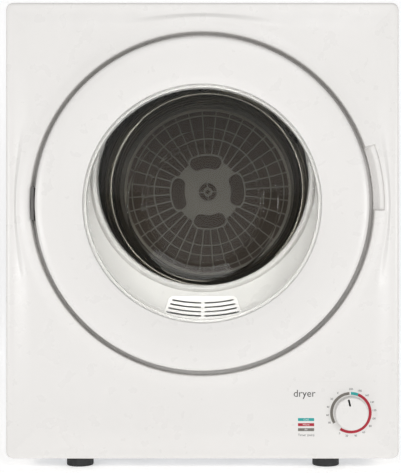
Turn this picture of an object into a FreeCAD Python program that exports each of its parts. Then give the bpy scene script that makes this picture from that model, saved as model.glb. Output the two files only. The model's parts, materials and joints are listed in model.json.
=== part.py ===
import FreeCAD, Part
import math
import os

# Compact front-loading vented tumble dryer.
# Frame: X to the right, Y from front to rear, Z up. The origin is at the centre of the
# bounding box, on the floor. Depths are measured rearwards from the front panel's face.

# ---------------------------------------------------------------- driving dimensions (mm)
# Cabinet
body_width = 492.0
body_height = 571.0
body_depth = 400.0
foot_height = 12.0
foot_radius = 17.0
foot_spread = 313.0
foot_inset = 32.0
corner_radius = 9.0
sheet = 1.0
front_wall = 2.2
front_skirt = 24.0
front_edge_radius = 6.0
seam = 0.3
lid_skirt = 22.0
flange = 13.0
knob_proud = 14.0
spigot_proud = 30.0

# Door and the pocket it closes into
door_axis_z = 331.0
door_radius = 207.7
door_groove = 6.9
door_proud = 14.0
door_wall = 2.5
door_back = 13.5
window_radius = 148.0
pocket_depth = 18.0
pocket_hole_radius = 152.0
pocket_ring = 17.4
pocket_ring_proud = 1.5
recess_angle = 81.5
recess_span = 21.0
recess_width = 13.0
recess_lip = 2.0
recess_depth = 9.0
lens_thickness = 2.6
lens_mouth_gap = 40.0
lens_floor_inset = 19.0
lens_depth = 40.0
gasket_radius = 162.0
body_gap = 0.3

# Hinge at the left of the door
hinge_offset = 3.2
hinge_depth = -5.0
hinge_height = 41.0
knuckle_radius = 2.3
hinge_pin_radius = 1.25
running_fit = 0.05

# Drum
drum_axis_z = 364.0
drum_radius = 203.0
drum_sheet = 1.0
drum_front = 56.0
drum_back_depth = 247.0
mouth_radius = 136.0
mouth_depth = 30.0
mouth_wall = 2.5
felt = 7.1
felt_gap = 0.4
bead_radius = 136.5
cone_radius = 128.0
cone_depth = 257.0
dish_depth = 306.0
neck_end = 326.0
lifter_height = 34.0
lifter_width = 44.0
lifter_length = 150.0

# Filter cassette in the drum's back
grille_radius = 126.0
grille_depth = 298.0
grille_wall = 3.2
grille_turn = -4.0
spoke_count = 36
spoke_width = 1.5
kidney_inner = 35.0
kidney_outer = 55.0
kidney_span = 60.0
kidney_corner = 9.0
kidney_rim = 2.2
hub_plate_radius = 49.0
screen_wall = 0.8

# Drum bearing
axle_radius = 10.0
hub_radius = 22.0
hub_length = 23.0
bush_wall = 3.0
spider_wall = 3.0
bulkhead_depth = 334.0
bulkhead_hole = 116.0
bracket_wall = 3.0

# Motor, belt and idler
motor_x = 110.0
motor_z = 92.0
motor_radius = 46.0
motor_front = 232.0
motor_length = 61.0
motor_boss_radius = 20.0
motor_boss = 8.0
shaft_radius = 5.0
belt_depth = 185.0
belt_width = 9.0
belt_wall = 1.8
pulley_radius = 9.0
idler_x = 46.0
idler_z = 107.0
idler_radius = 13.0
idler_pivot_x = 4.0
idler_pivot_z = 60.0

# Heater and inlet air
heater_half_width = 62.0
heater_front = 53.0
heater_rear = 168.0
heater_top = 120.0
heater_wall = 1.2
chute_half_width = 48.0
chute_front = 37.2
inlet_top_half = 42.5
inlet_bottom_half = 52.5
inlet_bottom_z = 184.0
inlet_top_z = 215.0
inlet_row_pitch = 5.5

# Rear duct, fan and exhaust
duct_depth = 18.0
duct_wall = 2.0
fan_radius = 58.0
fan_clearance = 12.0
fan_blades = 24
fan_housing_depth = 34.0
spigot_x = -108.0
spigot_z = 92.0
spigot_radius = 50.0
spigot_wall = 2.5
spigot_shoulder = 1.0

# Controls
fascia_left = 104.3
fascia_right = 227.2
fascia_bottom = 28.6
fascia_top = 108.9
fascia_wall = 1.5
fascia_proud = 0.2
fascia_radius = 10.0
knob_x = 185.4
knob_z = 70.3
knob_radius = 20.7
knob_taper = 0.8
knob_round = 1.2
knob_cap = 3.0
pointer_angle = -13.0
pointer_inner = 9.7
pointer_outer = 18.5
pointer_width = 2.3
timer_shaft_radius = 3.0
timer_size = 44.0
timer_depth = 36.0

# ---------------------------------------------------------------- derived places
total_depth = knob_proud + body_depth + spigot_proud
front_y = knob_proud - total_depth / 2
body_bottom = foot_height
body_top = foot_height + body_height
half_width = body_width / 2
inner_half = half_width - sheet
floor_z = body_bottom + sheet
lid_seam_z = body_top - lid_skirt
pocket_radius = door_radius + door_groove
pocket_floor = pocket_depth + front_wall
neck_radius = mouth_radius + mouth_wall + felt + felt_gap
lens_step_radius = mouth_radius - lens_mouth_gap
lens_floor_radius = lens_step_radius - lens_floor_inset
rear_inside = body_depth - sheet

os.makedirs("parts", exist_ok=True)


# ---------------------------------------------------------------- helpers
def y_at(depth):
    """Y of a plane that lies this far behind the front panel's face."""
    return front_y + depth


def vec(x, depth, z):
    return FreeCAD.Vector(x, y_at(depth), z)


def box(x0, x1, d0, d1, z0, z1):
    return Part.makeBox(x1 - x0, d1 - d0, z1 - z0, vec(x0, d0, z0))


def cylinder(x, z, radius, d0, d1):
    """Cylinder along Y between two depths."""
    return Part.makeCylinder(radius, d1 - d0, vec(x, d0, z), FreeCAD.Vector(0, 1, 0))


def tube(x, z, outer, inner, d0, d1):
    return cylinder(x, z, outer, d0, d1).cut(cylinder(x, z, inner, d0 - 1, d1 + 1))


def upright(x, depth, radius, z0, z1):
    """Cylinder along Z."""
    return Part.makeCylinder(radius, z1 - z0, vec(x, depth, z0))


def fuse(shapes):
    first = shapes[0]
    if len(shapes) == 1:
        return first
    return first.multiFuse(shapes[1:]).removeSplitter()


def rounded_edges(corners, place):
    """Edges of a closed outline. Each corner is (u, v) or (u, v, radius)."""
    arcs = []
    count = len(corners)
    for i in range(count):
        u, v = corners[i][:2]
        radius = corners[i][2] if len(corners[i]) > 2 else 0.0
        if radius == 0:
            arcs.append(((u, v), None, (u, v)))
            continue
        before = corners[i - 1]
        after = corners[(i + 1) % count]
        back = (before[0] - u, before[1] - v)
        ahead = (after[0] - u, after[1] - v)
        back_length = math.hypot(*back)
        ahead_length = math.hypot(*ahead)
        back = (back[0] / back_length, back[1] / back_length)
        ahead = (ahead[0] / ahead_length, ahead[1] / ahead_length)
        half = math.acos(back[0] * ahead[0] + back[1] * ahead[1]) / 2
        reach = radius / math.tan(half)
        middle = (back[0] + ahead[0], back[1] + ahead[1])
        middle_length = math.hypot(*middle)
        inset = radius / math.sin(half) - radius
        start = (u + back[0] * reach, v + back[1] * reach)
        end = (u + ahead[0] * reach, v + ahead[1] * reach)
        mid = (u + middle[0] / middle_length * inset, v + middle[1] / middle_length * inset)
        arcs.append((start, mid, end))
    edges = []
    for i in range(count):
        last_end = arcs[i - 1][2]
        start, mid, end = arcs[i]
        if math.hypot(start[0] - last_end[0], start[1] - last_end[1]) > 1e-6:
            edges.append(Part.makeLine(place(*last_end), place(*start)))
        if mid:
            edges.append(Part.Arc(place(*start), place(*mid), place(*end)).toShape())
    return edges


def prism(corners, d0, d1):
    """Outline in X and Z with rounded corners, extruded between two depths."""
    edges = rounded_edges(corners, lambda u, v: vec(u, d0, v))
    face = Part.Face(Part.Wire(edges))
    return face.extrude(FreeCAD.Vector(0, d1 - d0, 0))


def rectangle(x0, x1, z0, z1, radius=0.0):
    return [(x0, z0, radius), (x1, z0, radius), (x1, z1, radius), (x0, z1, radius)]


def turned(corners, x, z, angle=360.0):
    """Outline of (radius, depth) corners, turned about the Y axis through (x, z)."""
    edges = rounded_edges(corners, lambda u, v: vec(x + u, v, z))
    face = Part.Face(Part.Wire(edges))
    return face.revolve(vec(x, 0, z), FreeCAD.Vector(0, 1, 0), angle)


def spin(shape, x, z, angle):
    """Copy turned clockwise, as seen from the front, about the Y axis through (x, z)."""
    copy = shape.copy()
    copy.rotate(vec(x, 0, z), FreeCAD.Vector(0, 1, 0), angle)
    return copy


def mirrored(shape):
    return shape.mirror(FreeCAD.Vector(0, 0, 0), FreeCAD.Vector(1, 0, 0))


def band_wire(wheels, depth):
    """Closed wire round wheels (x, z, radius, sense); sense is 1 inside the loop, -1 outside."""
    count = len(wheels)
    leave = []
    arrive = []
    for i in range(count):
        x0, z0, r0, s0 = wheels[i]
        x1, z1, r1, s1 = wheels[(i + 1) % count]
        distance = math.hypot(x1 - x0, z1 - z0)
        heading = math.atan2(z1 - z0, x1 - x0) + math.asin((s0 * r0 - s1 * r1) / distance)
        side = (math.sin(heading), -math.cos(heading))
        leave.append((x0 + s0 * r0 * side[0], z0 + s0 * r0 * side[1]))
        arrive.append((x1 + s1 * r1 * side[0], z1 + s1 * r1 * side[1]))
    edges = []
    for i in range(count):
        x, z, radius, sense = wheels[i]
        start = arrive[i - 1]
        end = leave[i]
        a0 = math.atan2(start[1] - z, start[0] - x)
        a1 = math.atan2(end[1] - z, end[0] - x)
        turn = (a1 - a0) * sense % (2 * math.pi)
        middle = a0 + sense * turn / 2
        mid = (x + radius * math.cos(middle), z + radius * math.sin(middle))
        arc = Part.Arc(vec(start[0], depth, start[1]), vec(mid[0], depth, mid[1]), vec(end[0], depth, end[1]))
        edges.append(arc.toShape())
        ahead = arrive[i]
        edges.append(Part.makeLine(vec(end[0], depth, end[1]), vec(ahead[0], depth, ahead[1])))
    return Part.Wire(edges)


def band_prism(wheels, d0, d1):
    return Part.Face(band_wire(wheels, d0)).extrude(FreeCAD.Vector(0, d1 - d0, 0))


def screw(x, z, depth, shank, head_radius=3.6, head=2.2, shank_radius=1.9, facing=-1):
    """Pan-head screw along Y. Its head stands off the face at depth, towards facing."""
    if facing < 0:
        cap = cylinder(x, z, head_radius, depth - head, depth)
        body = cylinder(x, z, shank_radius, depth - 0.1, depth + shank)
        slot = box(x - head_radius, x + head_radius, depth - head - 1, depth - head + 0.9, z - 0.5, z + 0.5)
    else:
        cap = cylinder(x, z, head_radius, depth, depth + head)
        body = cylinder(x, z, shank_radius, depth - shank, depth + 0.1)
        slot = box(x - head_radius, x + head_radius, depth + head - 0.9, depth + head + 1, z - 0.5, z + 0.5)
    return cap.fuse(body).cut(slot)


def save(name, shape):
    if isinstance(shape, list):
        shape = Part.makeCompound(shape)
    if not shape.isValid():
        print("not valid:", name)
    solids = len(shape.Solids)
    print(name, "solids", solids, "volume cm3", round(shape.Volume / 1000, 2))
    shape.exportStep("parts/" + name + ".step")


# ---------------------------------------------------------------- cabinet
def cabinet_shell(inset, d0, d1):
    """Solid block of the cabinet's rounded section, inset evenly all round."""
    radius = max(corner_radius - inset, 0.5)
    x = half_width - inset
    outline = rectangle(-x, x, body_bottom + inset, body_top - inset, radius)
    return prism(outline, d0, d1)


shell_front = front_skirt + seam
shell_rear = rear_inside
wrap = cabinet_shell(0, shell_front, shell_rear).cut(
    cabinet_shell(sheet, shell_front - 1, shell_rear + 1))
rim_front = cabinet_shell(sheet / 2, shell_front, shell_front + sheet).cut(
    cabinet_shell(flange, shell_front - 1, shell_front + 2))
rim_rear = cabinet_shell(sheet / 2, shell_rear - sheet, shell_rear).cut(
    cabinet_shell(flange, shell_rear - 2, shell_rear + 1))
folded = fuse([wrap, rim_front, rim_rear])
far = body_width

louvre_count = 7
louvre_pitch = 11.0
louvre_length = 90.0
louvre_height = 3.6
side_louvre_depth = 285.0
side_louvre_z = 60.0
rear_louvre_x = 130.0
rear_louvre_z = 50.0


def louvre_slots(x0, x1, d_mid, z_low, along_x):
    """Row of stadium slots stacked upwards, cut through a sheet."""
    slots = []
    for i in range(louvre_count):
        z = z_low + i * louvre_pitch
        if along_x:
            slots.append(box(x0, x1, d_mid - 8, d_mid + 8, z, z + louvre_height))
        else:
            slots.append(box(x0, x1, d_mid - louvre_length / 2, d_mid + louvre_length / 2,
                             z, z + louvre_height))
    return slots


tray_lip = 20.0
screw_shank = 1.9
rear_screw_places = []
for side in (-1, 1):
    for z in (floor_z + tray_lip + 8, 200.0, 390.0, body_top - 8):
        rear_screw_places.append((side * (half_width - 8.0), z))
rear_screw_holes = [cylinder(x, z, screw_shank, shell_rear - 5, body_depth + 1) for x, z in rear_screw_places]
folded = folded.cut(rear_screw_holes)

save("top_panel", folded.common(box(-far, far, 0, body_depth, lid_seam_z, body_top + 1)))

side_bottom = half_width - corner_radius - 18.0
side_half = folded.common(box(side_bottom, far, 0, body_depth, 0, lid_seam_z - seam))
tongue = box(inner_half - sheet, inner_half, shell_front + flange, shell_rear - flange,
             lid_seam_z - flange, lid_seam_z + 9.0)
side_louvres = louvre_slots(inner_half - 5, half_width + 5, side_louvre_depth, side_louvre_z, False)
right_side = fuse([side_half, tongue]).cut(side_louvres)
save("right_side_panel", right_side)
save("left_side_panel", mirrored(right_side))

# Base tray: rests on the side panels' lower flanges and carries the machinery.
tray_half = inner_half - corner_radius + sheet
tray_front = shell_front + sheet + 1.0
tray_rear = shell_rear - sheet - 0.5
tray_outer = box(-tray_half, tray_half, tray_front, tray_rear, floor_z, floor_z + tray_lip)
tray_inner = box(-tray_half + sheet, tray_half - sheet, tray_front + sheet, tray_rear - sheet,
                 floor_z + sheet, floor_z + tray_lip + 1)
foot_places = []
for side in (-1, 1):
    for place_depth in (foot_inset, body_depth - foot_inset):
        foot_places.append((side * foot_spread / 2, place_depth))
foot_screw_radius = 2.4
tray_cuts = [tray_inner]
for x, depth in foot_places:
    tray_cuts.append(upright(x, depth, foot_screw_radius, floor_z - 1, floor_z + 3))
for i in range(8):
    slot_depth = 100.0 + 8.0 * i
    tray_cuts.append(box(-45, 45, slot_depth, slot_depth + 4, floor_z - 1, floor_z + 3))
save("base_plate", tray_outer.cut(tray_cuts))

# Rear panel with a pressed centre, louvres and holes for the exhaust and the cord.
panel_gap = 1.5
rear_outline = rectangle(-half_width + panel_gap, half_width - panel_gap, body_bottom + panel_gap,
                         body_top - panel_gap, corner_radius - panel_gap)
press_radius = 150.0
press_height = 4.0
press_slope = 5.0
rear_plate = prism(rear_outline, rear_inside, body_depth).cut(
    cylinder(0, drum_axis_z, press_radius, rear_inside - 1, body_depth + 1))
pressing = turned([(0, rear_inside + press_height), (press_radius - press_slope, rear_inside + press_height),
                   (press_radius, rear_inside), (press_radius + 1, rear_inside),
                   (press_radius + 1, body_depth), (press_radius, body_depth),
                   (press_radius - press_slope, body_depth + press_height), (0, body_depth + press_height)],
                  0, drum_axis_z)
cord_x = -205.0
cord_z = 60.0
cord_hole = 9.0
spigot_hole = spigot_radius + spigot_shoulder + 0.5
rear_cuts = [cylinder(spigot_x, spigot_z, spigot_hole, rear_inside - 1, body_depth + 1),
             cylinder(cord_x, cord_z, cord_hole, rear_inside - 1, body_depth + 1)]
rear_cuts += louvre_slots(rear_louvre_x - louvre_length / 2, rear_louvre_x + louvre_length / 2,
                          rear_inside, rear_louvre_z, True)
rear_cuts += rear_screw_holes
save("rear_panel", fuse([rear_plate, pressing]).cut(rear_cuts))

# Feet, each with a boss up to the tray and held by a screw from below.
foot_chamfer = 1.0
foot_bore = 6.0
foot_top = body_bottom - seam
foot_boss_radius = foot_inset - shell_front - 1.0
feet = []
foot_screws = []
for x, depth in foot_places:
    foot = upright(x, depth, foot_radius, 0, foot_top)
    foot = foot.makeChamfer(foot_chamfer, [e for e in foot.Edges if e.BoundBox.ZMax < 0.01])
    foot = foot.fuse(upright(x, depth, foot_boss_radius, foot_top - 1, floor_z))
    foot = foot.cut([upright(x, depth, foot_bore, -1, floor_z - 5), upright(x, depth, 2.2, -1, floor_z + 1)])
    feet.append(foot)
    head = upright(x, depth, foot_bore - 1, floor_z - 7.5, floor_z - 5)
    foot_screws.append(head.fuse(upright(x, depth, 2.2, floor_z - 5.1, floor_z + 8)))
save("feet", feet)

# ---------------------------------------------------------------- front panel
outer_pan = prism(rectangle(-half_width, half_width, body_bottom, body_top, corner_radius), 0, front_skirt)
front_rim = [e for e in outer_pan.Edges if e.BoundBox.YMax < y_at(0) + 0.01]
outer_pan = outer_pan.makeFillet(front_edge_radius, front_rim)
inner_pan = prism(rectangle(-half_width + front_wall, half_width - front_wall, body_bottom + front_wall,
                            body_top - front_wall, corner_radius - front_wall), front_wall, front_skirt + 1)
inner_rim = [e for e in inner_pan.Edges if e.BoundBox.YMax < y_at(front_wall) + 0.01]
inner_pan = inner_pan.makeFillet(front_edge_radius - front_wall, inner_rim)
ring_outer = pocket_radius + pocket_ring
ring_wall = pocket_radius + front_wall
pocket_profile = [
    (pocket_hole_radius, pocket_floor), (pocket_hole_radius, pocket_depth),
    (pocket_radius, pocket_depth, 0.8),
    (pocket_radius, -pocket_ring_proud, 3.0), (ring_outer - 8, -pocket_ring_proud, 12.0), (ring_outer, 0),
    (ring_outer, front_wall), (ring_wall, front_wall), (ring_wall, pocket_floor)]
plain_pan = outer_pan.cut(inner_pan).cut(cylinder(0, door_axis_z, ring_outer, -5, front_wall + 0.01))
pocket = turned(pocket_profile, 0, door_axis_z)

# Finger recess: a slope at the right of the door that leads a finger behind its edge.
scoop_outer = pocket_radius + recess_width
scoop_profile = [(pocket_radius - 4, -10), (scoop_outer, -10), (scoop_outer, recess_lip),
                 (pocket_radius, recess_depth), (pocket_radius - 4, recess_depth)]
liner_profile = [(pocket_radius + 0.2, 0.4), (scoop_outer + front_wall, 0.4),
                 (scoop_outer + front_wall, recess_lip + front_wall),
                 (pocket_radius + 0.2, recess_depth + front_wall)]
margin = math.degrees(front_wall / pocket_radius)


def recess_sector(profile, extra):
    """Sector turned about the door's axis, centred on the recess."""
    sector = turned(profile, 0, door_axis_z, recess_span + 2 * extra)
    return spin(sector, 0, door_axis_z, recess_angle - 90 - recess_span / 2 - extra)


scoop_liner = recess_sector(liner_profile, margin)
scoop = recess_sector(scoop_profile, 0)

# Openings in the pocket's floor for the catch magnet and the door switch.
catch_x = 185.5
catch_half_x = 7.5
catch_half_z = 22.0
catch_face = 15.6
switch_angle = 120.0
switch_circle = 185.0
switch_x = switch_circle * math.sin(math.radians(switch_angle))
switch_z = door_axis_z + switch_circle * math.cos(math.radians(switch_angle))
plunger_radius = 2.5
fascia_outline = rectangle(fascia_left, fascia_right, fascia_bottom, fascia_top, fascia_radius)
fascia_floor = fascia_wall - fascia_proud
fascia_seat = prism(rectangle(fascia_left - seam, fascia_right + seam, fascia_bottom - seam,
                              fascia_top + seam, fascia_radius + seam), -1, fascia_floor)
timer_bush_radius = 5.0
timer_hole = timer_bush_radius + 1.0
catch_opening = box(catch_x - catch_half_x - seam, catch_x + catch_half_x + seam, pocket_depth - 1,
                    pocket_floor + 1, door_axis_z - catch_half_z - seam, door_axis_z + catch_half_z + seam)
hinge_x = -(door_radius + hinge_offset)
hinge_base_left = hinge_x - 1.7
hinge_base_right = hinge_x + 34.0
bracket_screw_z = 13.0
bracket_screw_x = hinge_base_right - 8.0
front_cuts = [scoop, fascia_seat, catch_opening,
              cylinder(knob_x, knob_z, timer_hole, -1, front_wall + 1),
              cylinder(switch_x, switch_z, plunger_radius + 0.5, pocket_depth - 1, pocket_floor + 1)]
for sign in (-1, 1):
    front_cuts.append(cylinder(bracket_screw_x, door_axis_z + sign * bracket_screw_z, 1.9,
                               pocket_depth - 1, pocket_floor + 1))
front_panel = fuse([plain_pan, pocket, scoop_liner]).cut(front_cuts)
save("front_panel", front_panel)

# ---------------------------------------------------------------- drum mouth
bulkhead_front = mouth_depth + 6.0
throat_wall = 2.0
throat_rise = 12.0
throat_radius = pocket_hole_radius - throat_wall
shelf_inner = mouth_radius + 6.0
shelf_outer = drum_axis_z - door_axis_z + pocket_hole_radius + 4.0
shelf_slope = throat_rise / (drum_axis_z - door_axis_z + throat_radius - mouth_radius - 7.0)


def throat_shelf(shift):
    """Sloping wall round the drum mouth, cut to the door opening; the shift moves it rearwards."""
    inner_depth = bulkhead_front - throat_wall + shift
    outer_depth = inner_depth - shelf_slope * (shelf_outer - shelf_inner)
    plate = turned([(shelf_inner, inner_depth), (shelf_outer, outer_depth),
                    (shelf_outer, outer_depth + throat_wall), (shelf_inner, inner_depth + throat_wall)],
                   0, drum_axis_z)
    return plate.common(cylinder(0, door_axis_z, throat_radius + throat_wall / 2, 0, drum_front))


flange_back = pocket_floor + 1.5
throat_flange = tube(0, door_axis_z, pocket_hole_radius + 6, throat_radius, pocket_floor, flange_back)
throat_tube = tube(0, door_axis_z, pocket_hole_radius, throat_radius, pocket_floor, bulkhead_front).cut(
    cylinder(0, drum_axis_z, mouth_radius + 2, mouth_depth + 1, bulkhead_front + 1))
mouth_profile = [
    (mouth_radius + 9, bulkhead_front - 2.4), (mouth_radius + 7, mouth_depth + 1.5, 1.5),
    (mouth_radius + 4, mouth_depth - 0.5, 2.5), (mouth_radius, mouth_depth + 2.0, 2.0),
    (mouth_radius, drum_front - 2), (mouth_radius + mouth_wall, drum_front - 2),
    (mouth_radius + mouth_wall, bulkhead_front), (mouth_radius + 9, bulkhead_front)]
mouth_ring = turned(mouth_profile, 0, drum_axis_z)


def inlet_prism(grow, d0, d1):
    """Tapered outline of the inlet grille, extruded along the depth."""
    return prism([(-inlet_bottom_half - grow, inlet_bottom_z - grow, 2.0),
                  (inlet_bottom_half + grow, inlet_bottom_z - grow, 2.0),
                  (inlet_top_half + grow, inlet_top_z + grow, 7.0 + grow),
                  (-inlet_top_half - grow, inlet_top_z + grow, 7.0 + grow)], d0, d1)


throat = fuse([throat_flange, throat_tube, throat_shelf(0), mouth_ring])
save("throat_ring", throat.cut(inlet_prism(0.2, flange_back, bulkhead_front + 1)))

# Inlet grille: follows the throat's slope, with two columns of slots bent round the mouth.
inlet_grille = throat_shelf(-0.8).common(inlet_prism(0, pocket_floor, bulkhead_front + 1)).common(
    cylinder(0, door_axis_z, throat_radius - 0.2, pocket_floor, drum_front))
inlet_rows = 4
inlet_slots = []
inlet_bend = 190.0
inlet_slot = 1.8
inlet_bar = 2.2
for row in range(inlet_rows):
    z_row = inlet_top_z - 9.0 - row * inlet_row_pitch
    half = inlet_top_half - 3.5 + 2.4 * row
    ring = tube(0, z_row + inlet_bend, inlet_bend + inlet_slot / 2, inlet_bend - inlet_slot / 2,
                pocket_floor, bulkhead_front)
    for side in (-1, 1):
        x0 = min(side * inlet_bar, side * half)
        x1 = max(side * inlet_bar, side * half)
        inlet_slots.append(ring.common(box(x0, x1, pocket_floor, bulkhead_front, z_row - 5, z_row + 15)))
save("inlet_grille", inlet_grille.cut(inlet_slots))

felt_inner = mouth_radius + mouth_wall
save("front_felt_seal", tube(0, drum_axis_z, felt_inner + felt, felt_inner, bulkhead_front + 4,
                             drum_front - 4))

bulkhead_half = inner_half
bulkhead_low = 126.0
front_plate = box(-bulkhead_half, bulkhead_half, bulkhead_front, bulkhead_front + sheet,
                  bulkhead_low, body_top - corner_radius - 1)
front_lips = [box(s * bulkhead_half - (s > 0) * sheet, s * bulkhead_half + (s < 0) * sheet,
                  bulkhead_front, bulkhead_front + flange, bulkhead_low, lid_seam_z - flange - 1)
              for s in (-1, 1)]
bulkhead_cuts = [cylinder(0, drum_axis_z, mouth_radius + mouth_wall + 0.5, bulkhead_front - 1,
                          bulkhead_front + 2),
                 box(-inlet_top_half, inlet_top_half, bulkhead_front - 1, bulkhead_front + 2,
                     inlet_bottom_z, drum_axis_z - neck_radius - 4)]
save("front_bulkhead", fuse([front_plate] + front_lips).cut(bulkhead_cuts))

# ---------------------------------------------------------------- door
glass_front = -4.2
ring_profile = [
    (window_radius, glass_front), (window_radius, -10.6, 2.2), (180.0, -door_proud, 60.0),
    (door_radius, -door_proud + 1.2, 7.0), (door_radius, door_back - 3.8),
    (door_radius - door_wall, door_back - 3.8), (door_radius - door_wall, -door_proud + 3.9, 4.4),
    (180.0, -door_proud + door_wall), (window_radius + door_wall, -8.6, 1.0),
    (window_radius + door_wall, glass_front)]
door_screw_count = 6
door_screw_circle = 196.0
save("door_outer_ring", turned(ring_profile, 0, door_axis_z))

glass_back = glass_front + lens_thickness
inner_edge = door_radius - door_wall - 0.15
inner_profile = [
    (window_radius - 3, glass_back), (window_radius + 1, glass_back), (window_radius + 1, door_back - 3.4),
    (inner_edge - door_wall, door_back - 3.4), (inner_edge - door_wall, door_back - 9),
    (inner_edge, door_back - 9), (inner_edge, door_back, 2.5), (window_radius - 3, door_back, 1.5)]
inner_ring = turned(inner_profile, 0, door_axis_z)
door_screw_places = []
for i in range(door_screw_count):
    angle = math.radians(30 + 60 * i)
    door_screw_places.append((door_screw_circle * math.cos(angle),
                              door_axis_z + door_screw_circle * math.sin(angle)))
leaf_screw_x = hinge_x + 24.0
leaf_wall = 1.8
leaf_half = 7.5
inner_cuts = [cylinder(x, z, 1.9, 0, door_back + 1) for x, z in door_screw_places]
inner_cuts.append(cylinder(leaf_screw_x, door_axis_z, 1.9, 0, door_back + 1))
save("door_inner_ring", inner_ring.cut(inner_cuts))

lens_profile = [
    (window_radius + 4.5, glass_front), (window_radius + 4.5, glass_back), (138.0, glass_back, 6.0),
    (lens_step_radius + 1.0, 30.0, 4.0), (lens_floor_radius + 2, 34.5, 2.0),
    (lens_floor_radius, lens_depth, 3.0),
    (0, lens_depth), (0, lens_depth - lens_thickness),
    (lens_floor_radius - 2.6, lens_depth - lens_thickness, 1.5),
    (lens_floor_radius - 0.6, 32.0, 4.0), (lens_step_radius - 1.2, 27.6, 2.0), (139.0, glass_front, 4.0)]
save("door_lens", turned(lens_profile, 0, door_axis_z))

gasket_profile = [(gasket_radius - 4, door_back), (gasket_radius + 4, door_back),
                  (gasket_radius + 4.5, pocket_depth - body_gap),
                  (gasket_radius + 2.5, pocket_depth - body_gap),
                  (gasket_radius + 1, door_back + 2), (gasket_radius - 1, door_back + 2)]
save("door_gasket", turned(gasket_profile, 0, door_axis_z))

# Hinge: a fixed bracket with two ears, a leaf on the door and a pin through both.
knuckle_gap = 0.4
leaf_plate = box(hinge_x + 1.4, hinge_x + 32, door_back, door_back + leaf_wall,
                 door_axis_z - leaf_half, door_axis_z + leaf_half)
leaf_side = box(hinge_x + 0.9, hinge_x + 0.9 + leaf_wall, hinge_depth, door_back + leaf_wall,
                door_axis_z - leaf_half, door_axis_z + leaf_half)
leaf_knuckle = upright(hinge_x, hinge_depth, knuckle_radius, door_axis_z - leaf_half, door_axis_z + leaf_half)
leaf_bore = upright(hinge_x, hinge_depth, hinge_pin_radius + running_fit, door_axis_z - 30, door_axis_z + 30)
leaf = fuse([leaf_plate, leaf_side, leaf_knuckle]).cut(
    [leaf_bore, cylinder(leaf_screw_x, door_axis_z, 1.9, 0, 30)])
save("door_hinge_leaf", leaf)
ear_low = leaf_half + knuckle_gap
ear_high = hinge_height / 2
bracket_shapes = [box(hinge_base_left, hinge_base_right, pocket_depth - 1.6, pocket_depth,
                      door_axis_z - ear_high, door_axis_z + ear_high)]
for sign in (-1, 1):
    z0 = min(door_axis_z + sign * ear_low, door_axis_z + sign * ear_high)
    z1 = max(door_axis_z + sign * ear_low, door_axis_z + sign * ear_high)
    bracket_shapes.append(upright(hinge_x, hinge_depth, knuckle_radius, z0, z1))
    bracket_shapes.append(box(hinge_base_left, hinge_x + 0.6, hinge_depth, pocket_depth, z0, z1))
bracket_cuts = [upright(hinge_x, hinge_depth, hinge_pin_radius, door_axis_z - 30, door_axis_z + 30)]
bracket_screws = []
for sign in (-1, 1):
    z = door_axis_z + sign * bracket_screw_z
    bracket_cuts.append(cylinder(bracket_screw_x, z, 1.9, 0, 30))
    bracket_screws.append(screw(bracket_screw_x, z, pocket_depth - 1.6, 9.0, head=1.0))
save("door_hinge_bracket", fuse(bracket_shapes).cut(bracket_cuts))
save("door_hinge_pin", upright(hinge_x, hinge_depth, hinge_pin_radius,
                               door_axis_z - ear_high, door_axis_z + ear_high))

door_screws = [screw(x, z, door_back, 8.0, head=1.6, facing=1) for x, z in door_screw_places]
door_screws.append(screw(leaf_screw_x, door_axis_z, door_back + leaf_wall, 8.0, head=1.0, facing=1))
save("door_screws", door_screws)

strike = box(catch_x - 7, catch_x + 7, door_back, catch_face - 0.5, door_axis_z - 21, door_axis_z + 21)
save("door_strike_plate", strike)
magnet_block = box(catch_x - catch_half_x, catch_x + catch_half_x, catch_face, 32.0,
                   door_axis_z - catch_half_z, door_axis_z + catch_half_z)
magnet_flange = box(catch_x - 12, catch_x + 12, pocket_floor, pocket_floor + 2,
                    door_axis_z - 30, door_axis_z + 30)
save("catch_magnet", magnet_block.fuse(magnet_flange))

# Door switch and its sprung plunger, pushed in by the back of the door.
switch_travel = 3.0
switch_rear = bulkhead_front - 1.0
switch_block = box(switch_x - 9, switch_x + 9, pocket_floor, switch_rear, switch_z - 13, switch_z + 13)
switch_bore = cylinder(switch_x, switch_z, plunger_radius + running_fit, pocket_floor - 1, switch_rear - 4)
save("door_switch", switch_block.cut(switch_bore))
save("door_switch_plunger", cylinder(switch_x, switch_z, plunger_radius, door_back + body_gap,
                                     switch_rear - 5))

# ---------------------------------------------------------------- controls
fascia = prism(fascia_outline, -fascia_proud, fascia_floor).cut(
    cylinder(knob_x, knob_z, timer_hole, -2, 3))
save("control_fascia", fascia)
knob_back = -fascia_proud - 0.6
shaft_end = knob_cap - knob_proud
knob_profile = [(timer_shaft_radius, knob_back), (knob_radius, knob_back),
                (knob_radius - knob_taper, -knob_proud, knob_round), (0, -knob_proud),
                (0, shaft_end), (timer_shaft_radius, shaft_end)]
pointer = prism(rectangle(knob_x - pointer_width / 2, knob_x + pointer_width / 2, knob_z + pointer_inner,
                          knob_z + pointer_outer, 0.45 * pointer_width), -knob_proud, -knob_proud + 0.8)
pointer = spin(pointer, knob_x, knob_z, pointer_angle)
save("timer_knob", turned(knob_profile, knob_x, knob_z).cut(pointer))
save("knob_pointer", pointer)
timer_front = 3.8
save("timer_shaft", cylinder(knob_x, knob_z, timer_shaft_radius, shaft_end, 10.0))
timer_plate = box(knob_x - 30, knob_x + 30, front_wall, timer_front, knob_z - timer_size / 2,
                  knob_z + timer_size / 2)
timer_case = box(knob_x - timer_size / 2, knob_x + timer_size / 2, timer_front, timer_depth,
                 knob_z - timer_size / 2, knob_z + timer_size / 2)
timer_neck = cylinder(knob_x, knob_z, timer_bush_radius, 0.3, timer_front)
timer_bore = cylinder(knob_x, knob_z, timer_shaft_radius + running_fit, 0, 11.0)
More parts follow.
